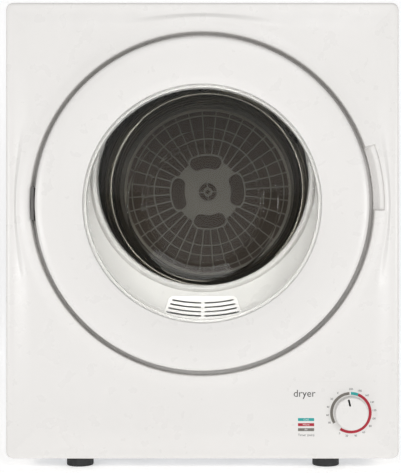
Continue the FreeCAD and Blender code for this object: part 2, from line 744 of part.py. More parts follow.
save("timer_body", fuse([timer_plate, timer_case, timer_neck]).cut(timer_bore))

# ---------------------------------------------------------------- drum
neck_front = bulkhead_front + 3.0
shell_profile = [
    (neck_radius, neck_front), (neck_radius, drum_front, 3.0),
    (drum_radius - drum_sheet, drum_front + 7, 6.0),
    (drum_radius - drum_sheet, drum_back_depth - 2), (drum_radius, drum_back_depth - 2),
    (drum_radius, drum_front + 6, 7.0), (neck_radius + drum_sheet, drum_front - 1, 2.0),
    (neck_radius + drum_sheet, neck_front)]
save("drum_shell", turned(shell_profile, 0, drum_axis_z))

back_wall = 1.2
back_profile = [
    (drum_radius - drum_sheet, drum_back_depth - 16), (drum_radius - drum_sheet, drum_back_depth, 8.0),
    (bead_radius + 10, drum_back_depth - 1.0, 4.0), (bead_radius + 4, drum_back_depth - 5.0, 3.0),
    (bead_radius, drum_back_depth - 1.0, 3.0), (cone_radius + 1.2, cone_depth, 4.0),
    (cone_radius - 1, neck_end), (cone_radius - 5, neck_end), (cone_radius - 5, neck_end - back_wall),
    (cone_radius - 1 - back_wall, neck_end - back_wall), (cone_radius, cone_depth + 0.6, 5.0),
    (bead_radius - back_wall, drum_back_depth - 1.4, 2.0),
    (bead_radius + 4, drum_back_depth - 5.0 - back_wall, 4.0),
    (bead_radius + 10, drum_back_depth - back_wall - 1.0, 3.0),
    (drum_radius - drum_sheet - back_wall, drum_back_depth - back_wall, 7.0),
    (drum_radius - drum_sheet - back_wall, drum_back_depth - 16)]
save("drum_back", turned(back_profile, 0, drum_axis_z))

lifter_front = drum_front + 20.0
lifter_seat = drum_radius - drum_sheet
lifter_outline = [(-lifter_width / 2, lifter_seat + 2 - drum_radius),
                  (lifter_width / 2, lifter_seat + 2 - drum_radius),
                  (6.0, -lifter_height, 5.0), (-6.0, -lifter_height, 5.0)]
lifter_corners = [(c[0], drum_axis_z - drum_radius - c[1]) + tuple(c[2:]) for c in lifter_outline]
lifter_block = prism(lifter_corners, lifter_front, lifter_front + lifter_length)
lifter_bed = cylinder(0, drum_axis_z, lifter_seat, 0, drum_back_depth)
lifter_one = lifter_block.common(lifter_bed)
save("drum_lifters", [spin(lifter_one, 0, drum_axis_z, 120 * i + 180) for i in range(3)])

# Spider in the drum's neck, with the hub and bush that turn on the fixed axle.
hub_front = dish_depth + 1.0
spider_reach = cone_radius - 1 - back_wall
arms = [cylinder(0, drum_axis_z, hub_radius, hub_front, hub_front + hub_length)]
for i in range(4):
    arm = box(-5, 5, hub_front + 1, hub_front + 1 + spider_wall, drum_axis_z,
              drum_axis_z + spider_reach - 0.5)
    arms.append(spin(arm, 0, drum_axis_z, grille_turn + 90 * i))
arms.append(tube(0, drum_axis_z, spider_reach, spider_reach - 4, hub_front + 1, hub_front + 1 + spider_wall))
spider = fuse(arms).cut(cylinder(0, drum_axis_z, axle_radius + bush_wall, hub_front - 1, neck_end + 9))
save("drum_spider", spider)
save("drum_bush", tube(0, drum_axis_z, axle_radius + bush_wall, axle_radius + running_fit,
                       hub_front, hub_front + hub_length))

# Filter cassette: open grille with a screen behind it, clipped into the drum's back.
grille_back = grille_depth + grille_wall


def grille_ring(radius, width):
    return tube(0, drum_axis_z, radius + width / 2, radius - width / 2, grille_depth, grille_back)


grille_parts = [grille_ring(grille_radius - 2, 4.0)]
for radius in (81.0, 96.0, 115.0):
    grille_parts.append(grille_ring(radius, spoke_width))
for i in range(spoke_count):
    rib = box(-spoke_width / 2, spoke_width / 2, grille_depth, grille_back,
              drum_axis_z + hub_plate_radius - 2, drum_axis_z + grille_radius - 3)
    grille_parts.append(spin(rib, 0, drum_axis_z, grille_turn + i * 360 / spoke_count))
grille_parts.append(cylinder(0, drum_axis_z, hub_plate_radius, grille_depth, grille_back))


def kidney(grow, d0, d1, turn):
    """Bean-shaped outline with round ends between two radii, grown evenly and turned into place."""
    inner = kidney_inner - grow
    outer = kidney_outer + grow
    span = kidney_span + 2 * math.degrees(grow / ((inner + outer) / 2))
    bean = turned([(inner, d0), (outer, d0), (outer, d1), (inner, d1)], 0, drum_axis_z, span)
    ends = [e for e in bean.Edges if e.BoundBox.YLength > 0.5 * (d1 - d0)]
    bean = bean.makeFillet(kidney_corner + grow / 2, ends)
    return spin(bean, 0, drum_axis_z, grille_turn - 90 - span / 2 + turn)


grille_parts += [kidney(kidney_rim, grille_depth, grille_back, 90 * i) for i in range(4)]
kidneys = [kidney(0, grille_depth - 1, grille_back + 1, 90 * i) for i in range(4)]
centre_cuts = [tube(0, drum_axis_z, 13.5, 6.7, grille_depth - 1, grille_back + 1)]
centre_bars = [spin(box(-0.7, 0.7, grille_depth, grille_back, drum_axis_z + 5, drum_axis_z + 15),
                    0, drum_axis_z, grille_turn + 90 * i) for i in range(4)]
filter_cover = fuse(grille_parts).cut(kidneys + centre_cuts)
filter_cover = fuse([filter_cover] + centre_bars).cut(cylinder(0, drum_axis_z, 3.3, grille_depth - 1,
                                                               grille_back + 1))
save("filter_cover", filter_cover)
save("filter_screen", cylinder(0, drum_axis_z, grille_radius - 1, grille_back, grille_back + screen_wall))

# ---------------------------------------------------------------- rear bulkhead and axle
axle_front = hub_front - body_gap
axle_flange = 4.0
axle_thread = 6.0
rear_plate_shape = box(-bulkhead_half, bulkhead_half, bulkhead_depth, bulkhead_depth + sheet,
                       floor_z + sheet + 0.2, body_top - corner_radius - 1)
rear_lips = [box(s * bulkhead_half - (s > 0) * sheet, s * bulkhead_half + (s < 0) * sheet,
                 bulkhead_depth, bulkhead_depth + flange, floor_z + 30, lid_seam_z - flange - 1)
             for s in (-1, 1)]
tongue_notch = [box(s * inner_half - (s > 0) * (sheet + seam), s * inner_half + (s < 0) * (sheet + seam),
                    bulkhead_depth - 1, bulkhead_depth + flange + 1, lid_seam_z - flange - seam, body_top)
                for s in (-1, 1)]
tray_notch = [box(s * (tray_half + 1) - (s > 0) * 2.5, s * (tray_half + 1) + (s < 0) * 2.5,
                  bulkhead_depth - 1, bulkhead_depth + 2, floor_z, floor_z + tray_lip + 0.5)
              for s in (-1, 1)]
corner_relief = [box(s * inner_half - (s > 0) * corner_radius, s * inner_half + (s < 0) * corner_radius,
                     bulkhead_depth - 1, bulkhead_depth + 2, floor_z,
                     floor_z + corner_radius) for s in (-1, 1)]
bolt_circle = bulkhead_hole + 6.0
bolt_radius = 2.5
bolt_places = []
for i in range(4):
    angle = math.radians(90 * i)
    bolt_places.append((bolt_circle * math.sin(angle), drum_axis_z + bolt_circle * math.cos(angle)))
bulkhead_tools = [cylinder(0, drum_axis_z, bulkhead_hole, bulkhead_depth - 1, bulkhead_depth + 2),
                  cylinder(motor_x, motor_z, shaft_radius + 1.5, bulkhead_depth - 1, bulkhead_depth + 2)]
bulkhead_tools += tray_notch + corner_relief + tongue_notch
bulkhead_tools += [cylinder(x, z, bolt_radius, bulkhead_depth - 1, bulkhead_depth + 2)
                   for x, z in bolt_places]
save("rear_bulkhead", fuse([rear_plate_shape] + rear_lips).cut(bulkhead_tools))

bracket_front = bulkhead_depth + sheet
bracket_back = bracket_front + bracket_wall
bracket_reach = bolt_circle + 6.0
cross = [cylinder(0, drum_axis_z, 26.0, bracket_front, bracket_back)]
for i in range(4):
    strip = box(-13, 13, bracket_front, bracket_back, drum_axis_z, drum_axis_z + bracket_reach)
    cross.append(spin(strip, 0, drum_axis_z, 90 * i))
cross_cuts = [cylinder(0, drum_axis_z, axle_thread, bracket_front - 1, bracket_back + 1)]
cross_cuts += [cylinder(x, z, bolt_radius, bracket_front - 1, bracket_back + 1) for x, z in bolt_places]
save("axle_bracket", fuse(cross).cut(cross_cuts))
axle = fuse([cylinder(0, drum_axis_z, axle_radius, axle_front, bracket_front - axle_flange),
             cylinder(0, drum_axis_z, 16.0, bracket_front - axle_flange, bracket_front),
             cylinder(0, drum_axis_z, axle_thread, bracket_front - 0.1, bracket_back + 9)])
axle_screw_radius = 3.0
save("drum_axle", axle.cut(cylinder(0, drum_axis_z, axle_screw_radius, axle_front - 1, axle_front + 14)))
nut_corners = []
for i in range(6):
    angle = math.radians(60 * i)
    nut_corners.append((11.0 * math.cos(angle), drum_axis_z + 11.0 * math.sin(angle)))
nut = prism(nut_corners, bracket_back, bracket_back + 7).cut(
    cylinder(0, drum_axis_z, axle_thread, bracket_back - 1, bracket_back + 10))
clip_front = grille_back + screen_wall + body_gap
end_screw = cylinder(0, drum_axis_z, 13.5, clip_front, axle_front).fuse(
    cylinder(0, drum_axis_z, axle_screw_radius, axle_front - 0.5, axle_front + 12))
bracket_bolts = [screw(x, z, bracket_back, 9.0, 4.5, 3.0, bolt_radius, 1) for x, z in bolt_places]
save("axle_fasteners", [nut, end_screw] + bracket_bolts)

rear_felt_front = neck_end + body_gap
save("rear_felt_seal", tube(0, drum_axis_z, cone_radius + 6, bulkhead_hole + 1.5, rear_felt_front,
                            bulkhead_depth).cut(
    [cylinder(x, z, bolt_radius + 0.5, rear_felt_front - 1, bulkhead_depth + 1) for x, z in bolt_places]))

# ---------------------------------------------------------------- rear duct, fan and exhaust
duct_front = bulkhead_depth + sheet
duct_back = duct_front + duct_depth
duct_radius = bracket_reach + 4.0
duct_foot = fan_radius + 4.0


def duct_block(inset, d0, d1):
    wheels = [(0, drum_axis_z, duct_radius - inset, 1), (motor_x, motor_z, duct_foot - inset, 1)]
    return band_prism(wheels, d0, d1)


fan_inlet_radius = 42.0
duct = duct_block(0, duct_front, duct_back).cut(
    [duct_block(duct_wall, duct_front - 1, duct_back - duct_wall),
     cylinder(motor_x, motor_z, fan_inlet_radius, duct_front, duct_back + 1)])
save("rear_duct", duct)

scroll_radius = fan_radius + fan_clearance
outlet_half = spigot_radius + 4.0
housing_front = duct_back
housing_back = housing_front + fan_housing_depth


def housing_block(inset, d0, d1):
    scroll = cylinder(motor_x, motor_z, scroll_radius - inset, d0, d1)
    outlet = prism(rectangle(spigot_x - outlet_half + inset, motor_x, spigot_z - outlet_half + inset,
                             spigot_z + outlet_half - inset, 10.0), d0, d1)
    return fuse([scroll, outlet])


housing = housing_block(0, housing_front, housing_back).cut(
    [housing_block(duct_wall, housing_front + duct_wall, housing_back + 1),
     cylinder(motor_x, motor_z, fan_inlet_radius, housing_front - 1, housing_back)])
save("fan_housing", housing)
cover_back = housing_back + 2.0
spigot_end = body_depth + spigot_proud
exhaust = fuse([housing_block(0, housing_back, cover_back),
                cylinder(spigot_x, spigot_z, spigot_radius + spigot_shoulder, housing_back, body_depth),
                cylinder(spigot_x, spigot_z, spigot_radius, housing_back, spigot_end)])
exhaust = exhaust.cut(cylinder(spigot_x, spigot_z, spigot_radius - spigot_wall, housing_back - 1,
                               spigot_end + 1))
save("exhaust_cover", exhaust)

fan_front = housing_front + duct_wall + 2.0
fan_back = housing_back - 3.0
fan_plate = cylinder(motor_x, motor_z, fan_radius, fan_back - 1.6, fan_back)
fan_hub = cylinder(motor_x, motor_z, 12.0, fan_front + 6, fan_back)
fan_parts = [fan_plate, fan_hub,
             tube(motor_x, motor_z, fan_radius, fan_inlet_radius + 2, fan_front, fan_front + 1.4)]
for i in range(fan_blades):
    blade = box(motor_x - 0.7, motor_x + 0.7, fan_front + 0.5, fan_back - 1,
                motor_z + fan_inlet_radius + 2.5, motor_z + fan_radius - 0.6)
    blade = blade.copy()
    blade.rotate(vec(motor_x, 0, motor_z + fan_radius - 8), FreeCAD.Vector(0, 1, 0), 32)
    fan_parts.append(spin(blade, motor_x, motor_z, i * 360 / fan_blades))
fan = fuse(fan_parts).common(cylinder(motor_x, motor_z, fan_radius, fan_front, fan_back))
save("fan_impeller", fan.cut(cylinder(motor_x, motor_z, shaft_radius, fan_front - 1, fan_back + 1)))

# ---------------------------------------------------------------- motor and belt drive
motor_rear = motor_front + motor_length
motor_case = fuse([cylinder(motor_x, motor_z, motor_radius, motor_front, motor_rear),
                   cylinder(motor_x, motor_z, motor_boss_radius, motor_front - motor_boss,
                            motor_rear + motor_boss)])
motor_case = motor_case.makeFillet(5.0, [e for e in motor_case.Edges
                                         if abs(e.BoundBox.XLength - 2 * motor_radius) < 0.5
                                         and e.BoundBox.YLength < 0.1])
save("motor_body", motor_case.cut(cylinder(motor_x, motor_z, shaft_radius + running_fit,
                                           motor_front - 20, motor_rear + 20)))
save("motor_shaft", cylinder(motor_x, motor_z, shaft_radius, belt_depth - 12, fan_back + 2))
pulley_half = belt_width / 2 + 1.5
pulley_outline = [(shaft_radius, belt_depth - pulley_half - 2),
                  (pulley_radius + 3, belt_depth - pulley_half - 2),
                  (pulley_radius + 3, belt_depth - pulley_half),
                  (pulley_radius, belt_depth - pulley_half + 1),
                  (pulley_radius, belt_depth + pulley_half - 1),
                  (pulley_radius + 3, belt_depth + pulley_half),
                  (pulley_radius + 3, belt_depth + pulley_half + 2),
                  (shaft_radius, belt_depth + pulley_half + 2)]
save("motor_pulley", turned(pulley_outline, motor_x, motor_z))

tray_top = floor_z + sheet
bracket_sheet = 2.0
post_front = motor_front - motor_boss
post_half = 30.0
pivot_post_depth = belt_depth + 15.0
idler_pin_radius = 3.0
mount_shapes = [box(idler_pivot_x - 34, motor_x + post_half + 25, belt_depth - 5, motor_rear + 12,
                    tray_top, tray_top + bracket_sheet)]
for d0 in (post_front + 1, motor_rear + motor_boss - bracket_sheet - 1):
    mount_shapes.append(box(motor_x - post_half, motor_x + post_half, d0, d0 + bracket_sheet, tray_top,
                            motor_z))
mount_shapes.append(box(idler_pivot_x - 12, idler_pivot_x + 12, pivot_post_depth,
                        pivot_post_depth + bracket_sheet, tray_top, idler_pivot_z + 10))
mount_shapes.append(cylinder(idler_pivot_x, idler_pivot_z, idler_pin_radius, belt_depth - 1,
                             pivot_post_depth + bracket_sheet))
mount = fuse(mount_shapes).cut(cylinder(motor_x, motor_z, motor_boss_radius, belt_depth - 5, motor_rear + 20))
save("motor_bracket", mount)

belt_gap = body_gap
inside = [(0, drum_axis_z, drum_radius + belt_gap, 1),
          (idler_x, idler_z, idler_radius + belt_gap + belt_wall, -1),
          (motor_x, motor_z, pulley_radius + belt_gap, 1)]
outside = [(0, drum_axis_z, drum_radius + belt_gap + belt_wall, 1),
           (idler_x, idler_z, idler_radius + belt_gap, -1),
           (motor_x, motor_z, pulley_radius + belt_gap + belt_wall, 1)]
belt_front = belt_depth - belt_width / 2
belt_back = belt_depth + belt_width / 2
belt = band_prism(outside, belt_front, belt_back).cut(band_prism(inside, belt_front - 1, belt_back + 1))
save("drum_belt", belt)

# Idler: a sprung arm on a pin, with a pulley that presses on the belt from outside.
arm_front = belt_depth + belt_width / 2 + 3.0
arm_wall = 3.0
arm_shape = band_prism([(idler_pivot_x, idler_pivot_z, 8.0, 1), (idler_x, idler_z, 8.0, 1)],
                       arm_front, arm_front + arm_wall)
tail_x = idler_pivot_x - 26.0
tail_z = idler_pivot_z
arm_tail = band_prism([(tail_x, tail_z, 6.0, 1), (idler_pivot_x, idler_pivot_z, 6.0, 1)],
                      arm_front, arm_front + arm_wall)
idler_pin = cylinder(idler_x, idler_z, 3.0, belt_front - 3, arm_front + 0.5)
arm_shape = fuse([arm_shape, arm_tail, idler_pin]).cut(
    cylinder(idler_pivot_x, idler_pivot_z, idler_pin_radius + running_fit, arm_front - 1, arm_front + 5))
save("idler_arm", arm_shape)
save("idler_pulley", tube(idler_x, idler_z, idler_radius, 3.0 + running_fit, belt_front - 1.5,
                          belt_back + 1.5))

# Idler spring: upright coil between the base and the arm's tail.
spring_radius = 4.5
spring_wire = 0.8
spring_low = tray_top + bracket_sheet + spring_wire
spring_high = tail_z - 6.0 - spring_wire - 0.3
spring_turns = 8
helix = Part.makeHelix((spring_high - spring_low) / spring_turns, spring_high - spring_low, spring_radius)
helix.translate(vec(tail_x, arm_front + arm_wall / 2, spring_low))
start = vec(tail_x + spring_radius, arm_front + arm_wall / 2, spring_low)
wire_face = Part.Wire(Part.makeCircle(spring_wire, start, FreeCAD.Vector(0, 1, 0.15)))
save("idler_spring", Part.Wire(helix.Edges).makePipeShell([wire_face], True, True))

# ---------------------------------------------------------------- heater and inlet air
heater_low = tray_top
heater_outer = box(-heater_half_width, heater_half_width, heater_front, heater_rear, heater_low, heater_top)
heater_inner = box(-heater_half_width + heater_wall, heater_half_width - heater_wall,
                   heater_front + heater_wall,
                   heater_rear - heater_wall, heater_low + heater_wall, heater_top - heater_wall)
mouth_low = heater_low + 40.0
mouth_high = heater_top - 6.0
heater_mouth = box(-chute_half_width + 4, chute_half_width - 4, heater_front - 1, heater_front + 3,
                   mouth_low, mouth_high)
heater_cuts = [heater_inner, heater_mouth]
for i in range(8):
    z = heater_low + 12 + 11 * i
    heater_cuts.append(box(-50, 50, heater_rear - 3, heater_rear + 1, z, z + 5))
save("heater_box", heater_outer.cut(heater_cuts))

chute_top = drum_axis_z - neck_radius - drum_sheet - 2.0
chute_low = mouth_low - 4.0
chute_outer = box(-chute_half_width, chute_half_width, chute_front, heater_front, chute_low, chute_top)
chute_inner = box(-chute_half_width + heater_wall, chute_half_width - heater_wall, chute_front + heater_wall,
                  heater_front - heater_wall, chute_low + heater_wall, chute_top - heater_wall)
chute_inlet = box(-chute_half_width + 4, chute_half_width - 4, heater_front - 3, heater_front + 1,
                  mouth_low, mouth_high)
chute_outlet = box(-inlet_top_half, inlet_top_half, chute_front - 1, chute_front + 3,
                   inlet_bottom_z, chute_top - 3)
save("air_chute", chute_outer.cut([chute_inner, chute_inlet, chute_outlet]))

element_half = heater_half_width - heater_wall - 4
fin_count = 22
fin_rail = 3.0
element_low = heater_low + heater_wall
element_high = heater_top - heater_wall
element_front = 95.0
element_depth = 22.0
element = [box(-element_half, element_half, element_front, element_front + element_depth, z, z + fin_rail)
           for z in (element_low, (element_low + element_high - fin_rail) / 2, element_high - fin_rail)]
for i in range(fin_count):
    x = -element_half + 0.6 + i * (2 * element_half - 1.2) / (fin_count - 1)
    element.append(box(x - 0.5, x + 0.5, element_front, element_front + element_depth, element_low,
                       element_high))
save("heating_element", fuse(element))

thermostat_spread = 44.0
thermostat_depth = 130.0
thermostat_radius = 8.5
thermostats = []
for x in (-thermostat_spread / 2, thermostat_spread / 2):
    can = upright(x, thermostat_depth, thermostat_radius, heater_top, heater_top + 7)
    tabs = box(x - thermostat_radius - 3.5, x + thermostat_radius + 3.5, thermostat_depth - 4,
               thermostat_depth + 4, heater_top, heater_top + 1.2)
    thermostats.append(fuse([can, tabs]))
save("thermostats", thermostats)

# ---------------------------------------------------------------- electrical pieces and screws
capacitor_x = -140.0
capacitor_front = 210.0
capacitor_length = 65.0
capacitor_radius = 17.0
capacitor_z = tray_top + capacitor_radius + 1
capacitor_middle = capacitor_front + capacitor_length / 2
can = cylinder(capacitor_x, capacitor_z, capacitor_radius, capacitor_front,
               capacitor_front + capacitor_length)
can = can.makeFillet(2.0, [e for e in can.Edges if e.BoundBox.YLength < 0.1])
strap = box(capacitor_x - 4, capacitor_x + 4, capacitor_middle - 6, capacitor_middle + 6, tray_top,
            tray_top + 6)
strap = strap.cut(cylinder(capacitor_x, capacitor_z, capacitor_radius, capacitor_front, capacitor_middle + 7))
save("run_capacitor", can.fuse(strap))
block_x = -190.0
block_depth = 300.0
block_length = 50.0
block_width = 24.0
block_height = 22.0
terminal_count = 6
terminal_pitch = 7.6
block = box(block_x - block_length / 2, block_x + block_length / 2, block_depth - block_width / 2,
            block_depth + block_width / 2, tray_top, tray_top + block_height)
block_cuts = []
for i in range(terminal_count):
    x = block_x + terminal_pitch * (i - (terminal_count - 1) / 2)
    block_cuts.append(upright(x, block_depth, 2.2, tray_top + block_height - 10, tray_top + block_height + 1))
save("terminal_block", block.cut(block_cuts))
grommet = fuse([cylinder(cord_x, cord_z, cord_hole, rear_inside - 4, body_depth + 4),
                cylinder(cord_x, cord_z, cord_hole + 3, body_depth, body_depth + 4),
                cylinder(cord_x, cord_z, cord_hole + 3, rear_inside - 4, rear_inside)])
cord_bore = 4.0
save("cord_grommet", grommet.cut(cylinder(cord_x, cord_z, cord_bore, rear_inside - 9, body_depth + 9)))
rear_screws = [screw(x, z, body_depth, 8.0, facing=1) for x, z in rear_screw_places]
save("case_screws", rear_screws + foot_screws + bracket_screws)
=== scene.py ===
import bpy
import bmesh
import json
import math
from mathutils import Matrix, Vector


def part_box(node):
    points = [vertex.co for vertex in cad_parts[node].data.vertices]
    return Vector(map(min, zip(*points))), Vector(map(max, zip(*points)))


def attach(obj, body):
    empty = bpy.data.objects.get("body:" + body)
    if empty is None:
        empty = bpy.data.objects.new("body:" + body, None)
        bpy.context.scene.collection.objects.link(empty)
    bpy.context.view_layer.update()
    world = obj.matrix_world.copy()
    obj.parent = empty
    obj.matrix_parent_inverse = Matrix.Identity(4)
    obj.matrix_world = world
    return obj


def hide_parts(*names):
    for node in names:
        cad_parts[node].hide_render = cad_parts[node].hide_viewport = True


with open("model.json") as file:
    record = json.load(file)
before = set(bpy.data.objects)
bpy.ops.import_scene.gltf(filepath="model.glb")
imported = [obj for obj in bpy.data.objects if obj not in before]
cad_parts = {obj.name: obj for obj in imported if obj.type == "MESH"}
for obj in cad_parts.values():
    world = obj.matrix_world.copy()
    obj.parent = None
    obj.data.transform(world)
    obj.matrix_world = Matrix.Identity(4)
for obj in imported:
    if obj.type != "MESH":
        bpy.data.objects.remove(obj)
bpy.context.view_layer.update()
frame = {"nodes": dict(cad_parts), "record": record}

# ---------------------------------------------------------------- places read from the frame (metres)
MM = 0.001
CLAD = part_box("front_panel")
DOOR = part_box("door_outer_ring")
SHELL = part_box("drum_shell")
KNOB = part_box("timer_knob")
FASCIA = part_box("control_fascia")

ring_proud = 1.5 * MM
front_y = CLAD[0][1] + ring_proud
skirt = CLAD[1][1] - front_y
door_x = (DOOR[0][0] + DOOR[1][0]) / 2
door_z = (DOOR[0][2] + DOOR[1][2]) / 2
door_radius = (DOOR[1][0] - DOOR[0][0]) / 2
drum_x = (SHELL[0][0] + SHELL[1][0]) / 2
drum_z = (SHELL[0][2] + SHELL[1][2]) / 2
knob_x = (KNOB[0][0] + KNOB[1][0]) / 2
knob_z = (KNOB[0][2] + KNOB[1][2]) / 2

# Sizes that the CAD fixes and that these meshes follow
groove = 6.9 * MM
pocket_radius = door_radius + groove
pocket_depth = 18 * MM
pocket_hole = 152 * MM
panel_wall = 2.2 * MM
ring_width = 17.4 * MM
lip_inner = 214.6 * MM
lip_width = 3.3 * MM
lip_round = 2.6 * MM
pocket_round = 0.8 * MM
corner_radius = 9 * MM
edge_radius = 6 * MM
recess_middle = 81.5  # degrees clockwise from the top
recess_half = 10.5
recess_width = 13 * MM
recess_lip = 2 * MM
recess_depth = 9 * MM


# ---------------------------------------------------------------- camera
camera_away = 1.4
camera_x = 0.039
camera_z = 0.260


def make_camera():
    """Long lens, level and square to the front, a little right of centre and below the middle."""
    data = bpy.data.cameras.new("camera")
    data.sensor_width = 36.0
    data.lens = 85.4
    data.shift_x = -0.0698
    data.shift_y = 0.051
    camera = bpy.data.objects.new("camera", data)
    bpy.context.scene.collection.objects.link(camera)
    camera.location = (camera_x, front_y - camera_away, camera_z)
    camera.rotation_euler = (math.radians(90), 0, 0)
    bpy.context.scene.camera = camera


make_camera()


# ---------------------------------------------------------------- mesh helpers
def add_object(name, bm, material, sharp_angle=38.0):
    """Turns a bmesh into an object with smooth faces and sharp creases."""
    bmesh.ops.recalc_face_normals(bm, faces=bm.faces)
    limit = math.radians(sharp_angle)
    for edge in bm.edges:
        if len(edge.link_faces) == 2:
            edge.smooth = edge.calc_face_angle(0.0) < limit
    for face in bm.faces:
        face.smooth = True
    mesh = bpy.data.meshes.new(name)
    bm.to_mesh(mesh)
    bm.free()
    mesh.materials.append(material)
    piece = bpy.data.objects.new(name, mesh)
    bpy.context.scene.collection.objects.link(piece)
    return piece


def rounded(corners, step=12.0, closed=True):
    """Points of an outline whose corners are (u, v) or (u, v, radius), with arcs at the radii."""
    points = []
    count = len(corners)
    for i, corner in enumerate(corners):
        u, v = corner[:2]
        radius = corner[2] if len(corner) > 2 else 0.0
        if radius == 0 or (not closed and i in (0, count - 1)):
            points.append((u, v))
            continue
        here = Vector((u, v))
        back = (Vector(corners[i - 1][:2]) - here).normalized()
        ahead = (Vector(corners[(i + 1) % count][:2]) - here).normalized()
        half = back.angle(ahead) / 2
        reach = radius / math.tan(half)
        centre = here + (back + ahead).normalized() * (radius / math.sin(half))
        start = here + back * reach - centre
        end = here + ahead * reach - centre
        sweep = math.pi - 2 * half
        steps = max(2, int(math.degrees(sweep) / step) + 1)
        turn = math.copysign(sweep, start.x * end.y - start.y * end.x)
        for k in range(steps + 1):
            a = turn * k / steps
            spot = Vector((start.x * math.cos(a) - start.y * math.sin(a),
                           start.x * math.sin(a) + start.y * math.cos(a)))
            points.append(tuple(centre + spot))
    return points


def in_mm(corners):
    return [tuple(value * MM for value in corner) for corner in corners]


def lathe(name, corners, x, z, material, segments=192, closed=True, sharp_angle=38.0):
    """Turns an outline of (radius, depth) about the Y axis through (x, z)."""
    profile = rounded(corners, closed=closed)
    bm = bmesh.new()
    loops = []
    for radius, depth in profile:
        if radius < 1e-7:
            loops.append([bm.verts.new((x, front_y + depth, z))])
            continue
        loop = []
        for k in range(segments):
            a = 2 * math.pi * k / segments
            loop.append(bm.verts.new((x + radius * math.sin(a), front_y + depth, z + radius * math.cos(a))))
        loops.append(loop)
    pairs = list(zip(loops, loops[1:] + loops[:1])) if closed else list(zip(loops, loops[1:]))
    for first, second in pairs:
        if len(first) == 1 and len(second) == 1:
            continue
        for k in range(segments):
            after = (k + 1) % segments
            if len(first) == 1:
                bm.faces.new((first[0], second[k], second[after]))
            elif len(second) == 1:
                bm.faces.new((first[k], second[0], first[after]))
            else:
                bm.faces.new((first[k], second[k], second[after], first[after]))
    return add_object(name, bm, material, sharp_angle)


def stand_in(piece, body, slot, *nodes):
    """The piece rides on a body and stands for CAD nodes; the slot argument is not used."""
    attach(piece, body)
    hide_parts(*nodes)
    return piece


# ---------------------------------------------------------------- materials
class Paint:
    """A Principled material with helpers that feed it from procedural nodes."""

    def __init__(self, name, color, roughness, metallic=0.0, specular=0.5):
        self.material = bpy.data.materials.new(name)
        self.material.use_nodes = True
        self.tree = self.material.node_tree
        self.shader = self.tree.nodes["Principled BSDF"]
        self.shader.inputs["Base Color"].default_value = (*color, 1)
        self.shader.inputs["Roughness"].default_value = roughness
        self.shader.inputs["Metallic"].default_value = metallic
        self.shader.inputs["Specular IOR Level"].default_value = specular
        self.coords = self.tree.nodes.new("ShaderNodeTexCoord")

    def node(self, kind, **values):
        made = self.tree.nodes.new(kind)
        for key, value in values.items():
            setattr(made, key, value)
        return made

    def link(self, source, target):
        self.tree.links.new(source, target)

    def noise(self, scale, detail=4.0, vector=None):
        noise = self.node("ShaderNodeTexNoise")
        noise.inputs["Scale"].default_value = scale
        noise.inputs["Detail"].default_value = detail
        self.link(vector or self.coords.outputs["Object"], noise.inputs["Vector"])
        return noise.outputs["Fac"]

    def ramp(self, source, low, high, start=0.35, end=0.65):
        ramp = self.node("ShaderNodeValToRGB")
        ramp.color_ramp.elements[0].position = start
        ramp.color_ramp.elements[1].position = end
        ramp.color_ramp.elements[0].color = (*low, 1)
        ramp.color_ramp.elements[1].color = (*high, 1)
        self.link(source, ramp.inputs["Fac"])
        return ramp.outputs["Color"]

    def spread(self, source, low, high):
        """Maps a 0 to 1 pattern to a range."""
        mapping = self.node("ShaderNodeMapRange")
        mapping.inputs["From Min"].default_value = 0.3
        mapping.inputs["From Max"].default_value = 0.7
        mapping.inputs["To Min"].default_value = low
        mapping.inputs["To Max"].default_value = high
        self.link(source, mapping.inputs["Value"])
        return mapping.outputs["Result"]

    def mottle(self, low, high, scale=9.0):
        self.link(self.ramp(self.noise(scale), low, high), self.shader.inputs["Base Color"])
        return self

    def vary_roughness(self, low, high, scale=30.0):
        self.link(self.spread(self.noise(scale), low, high), self.shader.inputs["Roughness"])
        return self

    def bump(self, source, distance, strength=1.0):
        bump = self.node("ShaderNodeBump")
        bump.inputs["Strength"].default_value = strength
        bump.inputs["Distance"].default_value = distance
        self.link(source, bump.inputs["Height"])
        self.link(bump.outputs["Normal"], self.shader.inputs["Normal"])
        return self

    def polar(self, x, z):
        """Radius and angle about the Y axis through (x, z)."""
        split = self.node("ShaderNodeSeparateXYZ")
        self.link(self.coords.outputs["Object"], split.inputs[0])
        across = self.math("SUBTRACT", split.outputs["X"], x)
        up = self.math("SUBTRACT", split.outputs["Z"], z)
        radius = self.math("SQRT", self.math("ADD", self.math("MULTIPLY", across, across),
                                             self.math("MULTIPLY", up, up)))
        return radius, self.math("ARCTAN2", across, up), split.outputs["Y"]

    def math(self, operation, a, b=None):
        made = self.node("ShaderNodeMath", operation=operation)
        for socket, value in zip(made.inputs, (a, b)):
            if value is None:
                continue
            if isinstance(value, (int, float)):
                socket.default_value = value
            else:
                self.link(value, socket)
        return made.outputs[0]

    def vector(self, x, y, z):
        joined = self.node("ShaderNodeCombineXYZ")
        for socket, value in zip(joined.inputs, (x, y, z)):
            if isinstance(value, (int, float)):
                socket.default_value = value
            else:
                self.link(value, socket)
        return joined.outputs[0]


def moulded(name, low, high, roughness=0.32, grain=2200.0, depth=0.00003):
    """Injection-moulded plastic: faint shade drift and a fine satin grain."""
    paint = Paint(name, high, roughness)
    paint.mottle(low, high, 6.0)
    paint.vary_roughness(roughness - 0.05, roughness + 0.06, 45.0)
    paint.bump(paint.noise(grain, 2.0), depth, 0.35)
    return paint.material


def enamel(name, low, high, roughness=0.28):
    """Baked paint on sheet steel, with a soft orange peel."""
    paint = Paint(name, high, roughness)
    paint.mottle(low, high, 4.0)
    paint.vary_roughness(roughness - 0.04, roughness + 0.07, 60.0)
    paint.bump(paint.noise(420.0, 3.0), 0.00006, 0.30)
    return paint.material


